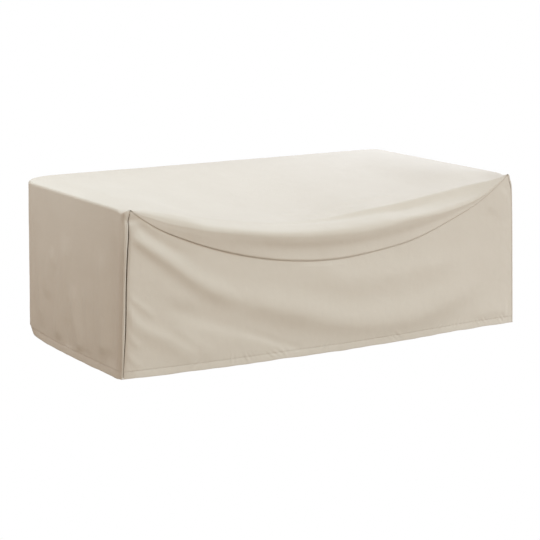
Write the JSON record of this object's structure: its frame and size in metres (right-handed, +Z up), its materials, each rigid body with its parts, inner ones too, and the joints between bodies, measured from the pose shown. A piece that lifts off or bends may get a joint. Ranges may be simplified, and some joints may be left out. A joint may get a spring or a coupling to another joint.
{
  "type": "garden bench cover",
  "caption": "Fitted canvas cover for a deep garden bench: body over the top and ends, front panel with a scooped top edge, plain back panel, open below.",
  "frame": {"origin": "underside of the top at the middle of the strip that lies on the bench's back rail, 50 mm in front of the back face, midway between the ends", "axes": "+X along the bench to its left as one sits on it, +Y towards the back, +Z up; the front with the scooped seam faces -Y"},
  "size_m": [2.0614, 1.1534, 0.7113],
  "materials": {
    "canvas": "matt plain-woven outdoor canvas, pale sand"
  },
  "bodies": {
    "root": {"body_cloth": "canvas", "front_panel": "canvas", "back_panel": "canvas"}
  },
  "joints": []
}
